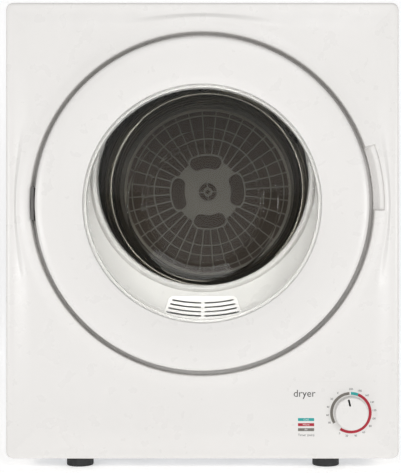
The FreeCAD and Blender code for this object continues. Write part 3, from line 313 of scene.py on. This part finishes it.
def galvanised(name):
    """Zinc-coated sheet with its crystal spangle."""
    paint = Paint(name, (0.55, 0.56, 0.57), 0.4, 0.9)
    cells = paint.node("ShaderNodeTexVoronoi")
    cells.inputs["Scale"].default_value = 90.0
    paint.link(paint.coords.outputs["Object"], cells.inputs["Vector"])
    tone = paint.ramp(cells.outputs["Color"], (0.42, 0.43, 0.45), (0.66, 0.67, 0.69), 0.2, 0.8)
    paint.link(tone, paint.shader.inputs["Base Color"])
    paint.link(paint.spread(cells.outputs["Distance"], 0.30, 0.50), paint.shader.inputs["Roughness"])
    return paint.material


def spun_steel(name, low, high, roughness=0.22):
    """Stainless steel spun on a lathe: fine rings round the drum's axis."""
    paint = Paint(name, high, roughness, 1.0)
    paint.shader.inputs["Anisotropic"].default_value = 0.8
    radius, angle, depth = paint.polar(drum_x, drum_z)
    downward = paint.math("MULTIPLY", paint.math("SINE", angle), -1.0)
    around = paint.vector(paint.math("COSINE", angle), 0.0, downward)
    paint.link(around, paint.shader.inputs["Tangent"])
    rings = paint.vector(paint.math("MULTIPLY", radius, 1400.0), paint.math("MULTIPLY", angle, 0.6),
                         paint.math("MULTIPLY", depth, 900.0))
    streaks = paint.noise(1.0, 5.0, rings)
    paint.link(paint.ramp(streaks, low, high, 0.3, 0.7), paint.shader.inputs["Base Color"])
    paint.link(paint.spread(streaks, roughness - 0.06, roughness + 0.10), paint.shader.inputs["Roughness"])
    paint.bump(streaks, 0.00002, 0.3)
    return paint.material


def plain_metal(name, low, high, roughness):
    """Turned, plated or pressed metal with faint wear."""
    paint = Paint(name, high, roughness, 1.0)
    paint.mottle(low, high, 60.0)
    paint.vary_roughness(roughness - 0.08, roughness + 0.10, 180.0)
    paint.bump(paint.noise(900.0, 3.0), 0.00002, 0.3)
    return paint.material


def rubber(name):
    """Dull black rubber."""
    low = (0.012, 0.012, 0.013)
    high = (0.03, 0.03, 0.032)
    paint = Paint(name, high, 0.62)
    paint.mottle(low, high, 30.0)
    paint.vary_roughness(0.52, 0.72, 90.0)
    paint.bump(paint.noise(1600.0, 3.0), 0.00005, 0.5)
    return paint.material


def felted(name):
    """Pressed wool felt with a fuzzy edge."""
    paint = Paint(name, (0.5, 0.48, 0.44), 0.95)
    paint.mottle((0.36, 0.34, 0.31), (0.62, 0.60, 0.55), 260.0)
    paint.bump(paint.noise(1500.0, 6.0), 0.0006, 0.9)
    paint.shader.inputs["Sheen Weight"].default_value = 0.4
    return paint.material


def woven_mesh(name):
    """Fine filter gauze: two crossed sets of threads."""
    paint = Paint(name, (0.16, 0.13, 0.11), 0.8)
    split = paint.node("ShaderNodeSeparateXYZ")
    paint.link(paint.coords.outputs["Object"], split.inputs[0])
    across = paint.math("SINE", paint.math("MULTIPLY", split.outputs["X"], 5200.0))
    up = paint.math("SINE", paint.math("MULTIPLY", split.outputs["Z"], 5200.0))
    weave = paint.math("MAXIMUM", across, up)
    paint.link(paint.ramp(weave, (0.018, 0.013, 0.010), (0.115, 0.086, 0.064), 0.0, 0.9),
               paint.shader.inputs["Base Color"])
    paint.bump(weave, 0.0002, 0.6)
    return paint.material


def clear_bowl(name):
    """Clear moulded window: smooth, with the faintest waviness."""
    paint = Paint(name, (0.965, 0.97, 0.955), 0.02)
    paint.shader.inputs["Transmission Weight"].default_value = 1.0
    paint.shader.inputs["IOR"].default_value = 1.22
    paint.bump(paint.noise(14.0, 2.0), 0.0004, 0.25)
    return paint.material


WHITE_LOW = (0.752, 0.736, 0.716)
WHITE_HIGH = (0.762, 0.746, 0.727)
white_plastic = moulded("white_plastic", WHITE_LOW, WHITE_HIGH, 0.30)
white_enamel = enamel("white_enamel", WHITE_LOW, WHITE_HIGH)
zinc_sheet = galvanised("zinc_sheet")
# Drum steel: the streak ramp is the real spun finish, but both of its colours are kept dark and brownish as
# painted shade for the dim inside of the drum.
shaded_drum_steel = spun_steel("shaded_drum_steel", (0.185, 0.172, 0.142), (0.335, 0.315, 0.275), 0.27)
dark_enamel = enamel("dark_enamel", (0.020, 0.020, 0.022), (0.035, 0.035, 0.037), 0.4)
hinge_enamel = enamel("hinge_enamel", (0.12, 0.117, 0.112), (0.16, 0.156, 0.15), 0.45)
grey_moulded = moulded("grey_moulded", (0.30, 0.30, 0.29), (0.36, 0.36, 0.35), 0.45)
# Filter cover plastic: a dark brownish copy of the plastic, painted shade for the dim drum behind the window.
shaded_filter_plastic = moulded("shaded_filter_plastic", (0.150, 0.134, 0.104), (0.185, 0.166, 0.130), 0.42)
# Throat ring plastic: the same white plastic made darker, painted shade behind the door window.
shaded_throat_white = moulded("shaded_throat_white", (0.560, 0.548, 0.530), (0.590, 0.578, 0.560), 0.30)
black_moulded = moulded("black_moulded", (0.010, 0.010, 0.010), (0.022, 0.022, 0.022), 0.45)
black_rubber = rubber("black_rubber")
grey_felt = felted("grey_felt")
gauze = woven_mesh("gauze")
zinc_plate = plain_metal("zinc_plate", (0.50, 0.50, 0.49), (0.70, 0.70, 0.69), 0.30)
bright_fins = plain_metal("bright_fins", (0.62, 0.63, 0.64), (0.80, 0.81, 0.82), 0.35)
bronze = plain_metal("bronze", (0.38, 0.24, 0.10), (0.55, 0.36, 0.16), 0.38)
clear_plastic = clear_bowl("clear_plastic")
ink_black = moulded("ink_black", (0.008, 0.008, 0.008), (0.014, 0.014, 0.014), 0.5)
ink_red = moulded("ink_red", (0.36, 0.006, 0.022), (0.42, 0.010, 0.030), 0.45)
ink_teal = moulded("ink_teal", (0.010, 0.300, 0.290), (0.016, 0.360, 0.345), 0.45)
ink_white = moulded("ink_white", (0.72, 0.72, 0.71), (0.78, 0.78, 0.77), 0.5)
ink_grey = moulded("ink_grey", (0.150, 0.135, 0.120), (0.185, 0.170, 0.150), 0.45)

# The stainless slot takes the drum steel, whose darkness is painted shade.
SLOT_FINISH = {
    "white_painted_steel": white_enamel, "galvanised_steel": zinc_sheet, "white_plastic": white_plastic,
    "clear_plastic": clear_plastic, "stainless_steel": shaded_drum_steel, "grey_plastic": grey_moulded,
    "black_plastic": black_moulded, "black_rubber": black_rubber, "felt": grey_felt, "mesh": gauze,
    "zinc_steel": zinc_plate, "dark_steel": dark_enamel, "aluminium_fins": bright_fins, "bronze": bronze}


def finish_cad_nodes():
    """Every CAD node that stays gets the finish of its material slot."""
    slots = {entry["node"]: entry["material_slot"] for entry in frame["record"]["subparts"]}
    for name, node in frame["nodes"].items():
        node.data.materials.clear()
        node.data.materials.append(SLOT_FINISH[slots[name]])


finish_cad_nodes()
# The filter cover takes a darker copy of its plastic: painted shade inside the drum.
frame["nodes"]["filter_cover"].data.materials[0] = shaded_filter_plastic
# The throat ring takes a darker copy of the white plastic: painted shade behind the window.
frame["nodes"]["throat_ring"].data.materials[0] = shaded_throat_white
for hinge_part in ("door_hinge_bracket", "door_hinge_leaf", "door_hinge_pin"):
    frame["nodes"][hinge_part].data.materials[0] = hinge_enamel


# ---------------------------------------------------------------- front panel
panel_x = (CLAD[0][0] + CLAD[1][0]) / 2
panel_z = (CLAD[0][2] + CLAD[1][2]) / 2
panel_half_x = (CLAD[1][0] - CLAD[0][0]) / 2
panel_half_z = (CLAD[1][2] - CLAD[0][2]) / 2
ring_outer = pocket_radius + ring_width
slope_width = 34 * MM
slope_depth = 3.4 * MM
face_steps = 24


def edge_distance(x, z):
    """How far inside the panel's rounded outline a point is."""
    dx = abs(x - panel_x) - (panel_half_x - corner_radius)
    dz = abs(z - panel_z) - (panel_half_z - corner_radius)
    outside = math.hypot(max(dx, 0), max(dz, 0)) + min(max(dx, dz), 0)
    return corner_radius - outside


def smooth(t):
    """Eases from 0 to 1 and stays level beyond both ends."""
    t = min(max(t, 0.0), 1.0)
    return t * t * (3 - 2 * t)


def panel_depth(x, z):
    """Depth of the panel's face: crowned, falling away softly towards its edges."""
    inside = edge_distance(x, z) - edge_radius
    return slope_depth * (1 - smooth(inside / slope_width)) ** 1.5


def ray(angle, inset):
    """Point where a ray from the door's centre meets the outline, moved in by inset."""
    low, high = 0.0, 0.8
    for _ in range(36):
        middle = (low + high) / 2
        x = door_x + middle * math.sin(angle)
        z = door_z + middle * math.cos(angle)
        if edge_distance(x, z) > inset:
            low = middle
        else:
            high = middle
    return low


def face_depth(angle, radius, share_out):
    """Depth of the built face on a ray: the crown starts softly beyond the raised ring."""
    x = door_x + radius * math.sin(angle)
    z = door_z + radius * math.cos(angle)
    return panel_depth(x, z) * smooth(2 * share_out)


def surface_depth(x, z):
    """Depth of the built face under a point."""
    angle = math.atan2(x - door_x, z - door_z)
    radius = math.hypot(x - door_x, z - door_z)
    face_end = ray(angle, edge_radius)
    return face_depth(angle, radius, (radius - ring_outer) / (face_end - ring_outer))


def panel_angles():
    """Directions from the door's centre, closer together at the corners and the recess."""
    angles = {round(i * 0.75, 3) for i in range(480)}
    for sx in (-1, 1):
        for sz in (-1, 1):
            dx = panel_x + sx * (panel_half_x - corner_radius / 2) - door_x
            dz = panel_z + sz * (panel_half_z - corner_radius / 2) - door_z
            middle = math.degrees(math.atan2(dx, dz)) % 360
            angles |= {round(middle + k * 0.12, 3) for k in range(-14, 15)}
    for edge in (recess_middle - recess_half, recess_middle + recess_half):
        angles |= {round(edge + k * 0.12, 3) for k in range(-6, 7)}
    return [math.radians(a) for a in sorted(angles)]


def recess_share(angle):
    """1 inside the finger recess, 0 outside, turning over a short stretch at its ends."""
    away = abs(math.degrees(angle) - recess_middle)
    return smooth((recess_half + 0.35 - away) / 0.7)


def build_front_panel():
    """The panel as columns of points, each from the pocket's lip out to the skirt and back."""
    lip_outer = lip_inner + lip_width
    plain = rounded([(lip_inner, pocket_depth), (lip_inner, -ring_proud, lip_round),
                     (lip_outer, -ring_proud)], 15, False)
    bulge = [(lip_outer + t * (ring_width - lip_width), -ring_proud * (1 - smooth(t)))
             for t in (0.25, 0.5, 0.75, 1.0)]
    outside = plain[1:] + bulge
    scoop_outer = pocket_radius + recess_width
    scoop = rounded([(pocket_radius, recess_depth), (scoop_outer, recess_lip, 1.2 * MM),
                     (scoop_outer, -0.9 * MM, 0.8 * MM), (ring_outer, 0.0)], 15, False)
    count = max(len(outside), len(scoop))
    outside = resample(outside, count)
    scoop = resample(scoop, count)
    bm = bmesh.new()
    columns = []
    for angle in panel_angles():
        share = recess_share(angle)
        column = [(pocket_hole, pocket_depth), (pocket_radius - pocket_round, pocket_depth),
                  (pocket_radius, pocket_depth - pocket_round)]
        for a, b in zip(outside, scoop):
            column.append((a[0] + (b[0] - a[0]) * share, a[1] + (b[1] - a[1]) * share))
        face_end = ray(angle, edge_radius)
        for k in range(1, face_steps + 1):
            share_out = k / face_steps
            radius = ring_outer + (face_end - ring_outer) * share_out
            column.append((radius, face_depth(angle, radius, share_out)))
        fall = column[-1][1]
        for k in range(1, 7):
            turn = math.radians(15 * k)
            inset = edge_radius * (1 - math.sin(turn))
            column.append((ray(angle, inset), fall + (edge_radius - fall) * (1 - math.cos(turn))))
        column.append((ray(angle, 0), skirt))
        column.append((ray(angle, panel_wall), skirt))
        column.append((ray(angle, panel_wall), edge_radius))
        column.append((ray(angle, edge_radius + panel_wall), panel_wall + fall + 1 * MM))
        back = recess_depth + panel_wall
        column.append((ring_outer + 1 * MM, panel_wall + (back - panel_wall) * share))
        column.append((pocket_radius + panel_wall, panel_wall + (back - panel_wall) * share))
        column.append((pocket_radius + panel_wall, pocket_depth + panel_wall))
        column.append((pocket_hole, pocket_depth + panel_wall))
        across = math.sin(angle)
        up = math.cos(angle)
        columns.append([bm.verts.new((door_x + r * across, front_y + d, door_z + r * up)) for r, d in column])
    for first, second in zip(columns, columns[1:] + columns[:1]):
        size = len(first)
        for k in range(size):
            after = (k + 1) % size
            bm.faces.new((first[k], first[after], second[after], second[k]))
    return add_object("front_panel_shell", bm, white_plastic, 40)


def resample(points, count):
    """The same line with its points spread evenly along it."""
    lengths = [0.0]
    for a, b in zip(points, points[1:]):
        lengths.append(lengths[-1] + math.dist(a, b))
    result = []
    for k in range(count):
        want = lengths[-1] * k / (count - 1)
        i = 0
        while i < len(points) - 2 and lengths[i + 1] < want:
            i += 1
        span = lengths[i + 1] - lengths[i]
        t = (want - lengths[i]) / span if span else 0.0
        a, b = points[i], points[i + 1]
        result.append((a[0] + (b[0] - a[0]) * t, a[1] + (b[1] - a[1]) * t))
    return result


stand_in(build_front_panel(), "cabinet", "white_plastic", "front_panel")

# ---------------------------------------------------------------- door
# Outlines in mm, with depth counted from the front of the cabinet
window_edge = 148.0
glass_seat = -4.2
ring_edge = 207.7
ring_front = -14.0
ring_back = 9.7
ring_skin = 2.5
ring = in_mm([
    (window_edge, glass_seat), (window_edge, -10.6, 2.2), (158.0, -12.6, 30.0), (180.0, ring_front, 60.0),
    (200.0, -13.4, 30.0), (ring_edge, -11.2, 5.0), (ring_edge, ring_back), (ring_edge - ring_skin, ring_back),
    (ring_edge - ring_skin, -9.0, 3.0), (180.0, ring_front + ring_skin), (window_edge + ring_skin, -8.6),
    (window_edge + ring_skin, glass_seat)])
ring_piece = lathe("door_front_ring", ring, door_x, door_z, white_plastic, 256)
stand_in(ring_piece, "door", "white_plastic", "door_outer_ring")
bowl_rim = window_edge + 4.5
bowl_edge = 141.0
bowl_depth = 40.0
glass = 1.7
rim_front = -3.6
rim_back = rim_front + glass
bowl = in_mm([
    (bowl_rim, rim_front), (bowl_rim, rim_back), (bowl_edge, rim_back, 9.0), (97.0, 31.0, 9.0),
    (78.0, 36.0, 9.0), (74.0, bowl_depth, 5.0), (0.0, bowl_depth), (0.0, bowl_depth - glass),
    (73.5, bowl_depth - glass, 4.0), (77.0, 34.4, 8.0), (95.8, 29.4, 8.0), (bowl_edge, rim_front, 8.0)])
window = lathe("door_window_bowl", bowl, door_x, door_z, clear_plastic, 256)
stand_in(window, "door", "clear_plastic", "door_lens")
window.visible_shadow = False

# ---------------------------------------------------------------- controls
fascia_proud = 0.25 * MM
fascia_radius = 10 * MM
fascia_tuck = 1.0 * MM
fascia_columns = 60
fascia_rows = 32
ink_lift = 0.03 * MM


def build_fascia():
    """Thin printed sheet that follows the panel's face, with rounded corners."""
    (x0, _, z0), (x1, _, z1) = FASCIA
    columns = []
    across = fascia_columns
    up = fascia_rows
    for i in range(across + 1):
        t = (1 - math.cos(math.pi * i / across)) / 2
        x = x0 + (x1 - x0) * t
        into = max(fascia_radius - min(x - x0, x1 - x), 0.0)
        drop = fascia_radius - math.sqrt(max(fascia_radius ** 2 - into ** 2, 0.0))
        columns.append([(x, z0 + drop + (z1 - z0 - 2 * drop) * k / up) for k in range(up + 1)])
    bm = bmesh.new()
    layers = []
    for lift in (fascia_proud, -fascia_tuck):
        layers.append([[bm.verts.new((x, front_y + surface_depth(x, z) - lift, z)) for x, z in column]
                       for column in columns])
    for layer in layers:
        for first, second in zip(layer, layer[1:]):
            for k in range(up):
                bm.faces.new((first[k], second[k], second[k + 1], first[k + 1]))
    top, base = layers
    rim = [(i, 0) for i in range(across)] + [(across, k) for k in range(up)]
    rim += [(i, up) for i in range(across, 0, -1)] + [(0, k) for k in range(up, 0, -1)]
    for (i, k), (j, m) in zip(rim, rim[1:] + rim[:1]):
        bm.faces.new((top[i][k], top[j][m], base[j][m], base[i][k]))
    return add_object("fascia_sheet", bm, white_plastic)


stand_in(build_fascia(), "cabinet", "white_plastic", "control_fascia")


def printed(x, z):
    """A printed point on the fascia."""
    return (x, front_y + surface_depth(x, z) - fascia_proud - ink_lift, z)


def print_arc(bm, start, end, inner, outer):
    """Band round the knob between two clockwise angles from the top, in degrees."""
    steps = max(2, int((end - start) / 3))
    before = None
    for k in range(steps + 1):
        a = math.radians(start + (end - start) * k / steps)
        pair = [bm.verts.new(printed(knob_x + r * math.sin(a), knob_z + r * math.cos(a)))
                for r in (inner, outer)]
        if before:
            bm.faces.new((before[0], before[1], pair[1], pair[0]))
        before = pair


def print_bar(bm, x0, x1, z0, z1):
    """Level bar between two places on the fascia."""
    steps = 10
    before = None
    for k in range(steps + 1):
        x = x0 + (x1 - x0) * k / steps
        pair = [bm.verts.new(printed(x, z)) for z in (z0, z1)]
        if before:
            bm.faces.new((before[0], before[1], pair[1], pair[0]))
        before = pair


def print_text(bm, words, x, z, size, align="CENTER", lift=0.0):
    """Lettering laid on the fascia, centred on its height."""
    curve = bpy.data.curves.new("lettering", "FONT")
    curve.body = words
    curve.size = size
    curve.align_x = align
    curve.align_y = "CENTER"
    curve.resolution_u = 4
    holder = bpy.data.objects.new("lettering", curve)
    bpy.context.scene.collection.objects.link(holder)
    bpy.context.view_layer.update()
    flat = bpy.data.meshes.new_from_object(holder)
    bpy.data.objects.remove(holder)
    bpy.data.curves.remove(curve)
    verts = []
    for vertex in flat.vertices:
        px, py, pz = printed(x + vertex.co.x, z + vertex.co.y)
        verts.append(bm.verts.new((px, py - lift, pz)))
    for polygon in flat.polygons:
        bm.faces.new([verts[i] for i in polygon.vertices])
    bpy.data.meshes.remove(flat)


def finish_print(name, bm, material):
    """One colour of print, fixed to the cabinet."""
    piece = add_object(name, bm, material)
    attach(piece, "cabinet")
    return piece


scale_inner = 22.4 * MM
scale_outer = 25.9 * MM
numeral_radius = 29.4 * MM
numeral_size = 3.5 * MM
bar_left = 119.4 * MM
bar_right = 139.6 * MM
bar_height = 3.7 * MM
bar_word_size = 3.2 * MM
caption_z = 42.3 * MM
caption_size = 4.2 * MM
word_left = 113.6 * MM
word_z = 94.0 * MM
word_size = 12.5 * MM
bar_tops = {"teal": 63.6 * MM, "red": 57.2 * MM, "grey": 51.0 * MM}
bar_words = {"teal": "Cool", "red": "Warm", "grey": "Air"}
bands = {"teal": (0, 22, ink_teal), "red": (22, 213, ink_red), "grey": (238, 356, ink_grey)}
heat_angles = (0.4, 22, 42.8, 63.6, 84.4, 104.7, 124.8, 146.7, 168.3, 190, 208.5)
air_angles = (244.8, 263.9, 284, 305.6, 326.2)
numerals = list(zip(heat_angles, range(200, -1, -20))) + list(zip(air_angles, range(80, -1, -20)))


def build_prints():
    """Dial bands, numerals, legend bars and plain captions."""
    for key, (start, end, ink) in bands.items():
        band = bmesh.new()
        print_arc(band, start, end, scale_inner, scale_outer)
        print_bar(band, bar_left, bar_right, bar_tops[key] - bar_height, bar_tops[key])
        finish_print("print_" + key, band, ink)
    black = bmesh.new()
    for angle, number in numerals:
        a = math.radians(angle)
        print_text(black, str(number), knob_x + numeral_radius * math.sin(a),
                   knob_z + numeral_radius * math.cos(a), numeral_size)
    print_text(black, "Timer (min)", bar_left, caption_z, caption_size, "LEFT")
    print_text(black, "dryer", word_left, word_z, word_size, "LEFT")
    finish_print("print_black", black, ink_black)
    white = bmesh.new()
    middle = (bar_left + bar_right) / 2
    for key, words in bar_words.items():
        print_text(white, words, middle, bar_tops[key] - bar_height / 2, bar_word_size, lift=ink_lift)
    finish_print("print_white", white, ink_white)


build_prints()

# Knob outline in mm
knob_front = -14.0
knob_back = -0.85
knob_edge = 20.7
knob_skin = 3.0
stem_hole = 3.1
knob = in_mm([
    (0.0, knob_front), (19.6, knob_front, 0.9), (20.4, -12.6, 1.0), (knob_edge, -1.8),
    (knob_edge, knob_back, 0.4), (stem_hole, knob_back), (stem_hole, knob_front + knob_skin),
    (0.0, knob_front + knob_skin)])
stand_in(lathe("knob_cap", knob, knob_x, knob_z, white_plastic, 128), "knob", "white_plastic", "timer_knob")


# ---------------------------------------------------------------- floor and light (metres)
sweep_half = 6.0
sweep_start = 1.6
sweep_radius = 1.0
sweep_top = 5.0


def make_stage():
    """Pale floor that sweeps up into a plain backdrop."""
    profile = [(-sweep_half, 0.0), (sweep_start, 0.0)]
    for degrees in range(6, 91, 6):
        a = math.radians(degrees)
        profile.append((sweep_start + sweep_radius * math.sin(a), sweep_radius * (1 - math.cos(a))))
    profile.append((sweep_start + sweep_radius, sweep_top))
    bm = bmesh.new()
    rows = [[bm.verts.new((x, y, z)) for x in (-sweep_half, sweep_half)] for y, z in profile]
    for first, second in zip(rows, rows[1:]):
        bm.faces.new((first[0], first[1], second[1], second[0]))
    pale = Paint("floor_paint", (0.93, 0.93, 0.93), 0.6)
    pale.mottle((0.92, 0.92, 0.92), (0.94, 0.94, 0.94), 2.0)
    pale.shader.inputs["Emission Color"].default_value = (1, 1, 1, 1)
    pale.shader.inputs["Emission Strength"].default_value = 0.40
    add_object("sweep", bm, pale.material)


def area_light(name, place, target, width, height, power):
    """Soft rectangular light aimed at a target."""
    data = bpy.data.lights.new(name, "AREA")
    data.energy = power
    data.shape = "RECTANGLE"
    data.size = width
    data.size_y = height
    light = bpy.data.objects.new(name, data)
    bpy.context.scene.collection.objects.link(light)
    light.location = place
    light.rotation_euler = (Vector(target) - Vector(place)).to_track_quat("-Z", "Y").to_euler()
    return light


def make_world():
    """White to the camera, softer for everything else."""
    world = bpy.data.worlds.new("studio")
    bpy.context.scene.world = world
    world.use_nodes = True
    nodes = world.node_tree.nodes
    nodes["Background"].inputs["Color"].default_value = (1, 1, 1, 1)
    nodes["Background"].inputs["Strength"].default_value = 0.30
    bright = nodes.new("ShaderNodeBackground")
    bright.inputs["Strength"].default_value = 1.0
    path = nodes.new("ShaderNodeLightPath")
    mix = nodes.new("ShaderNodeMixShader")
    links = world.node_tree.links
    links.new(path.outputs["Is Camera Ray"], mix.inputs["Fac"])
    links.new(nodes["Background"].outputs["Background"], mix.inputs[1])
    links.new(bright.outputs["Background"], mix.inputs[2])
    links.new(mix.outputs["Shader"], nodes["World Output"].inputs["Surface"])


make_stage()
make_world()
middle = (0, 0, 0.3)
area_light("key_softbox", (0.15, front_y - 2.3, 1.75), middle, 1.6, 0.9, 13.5)
fill = area_light("front_fill", (0, front_y - 2.6, 0.45), middle, 1.6, 1.0, 9.5)
fill.visible_glossy = False
for name, side in (("left_strip", -1), ("right_strip", 1)):
    area_light(name, (side * 0.95, front_y - 1.15, 0.34), (0, front_y, 0.35), 0.05, 0.36, 3.0)
bpy.context.scene.view_settings.view_transform = "Standard"
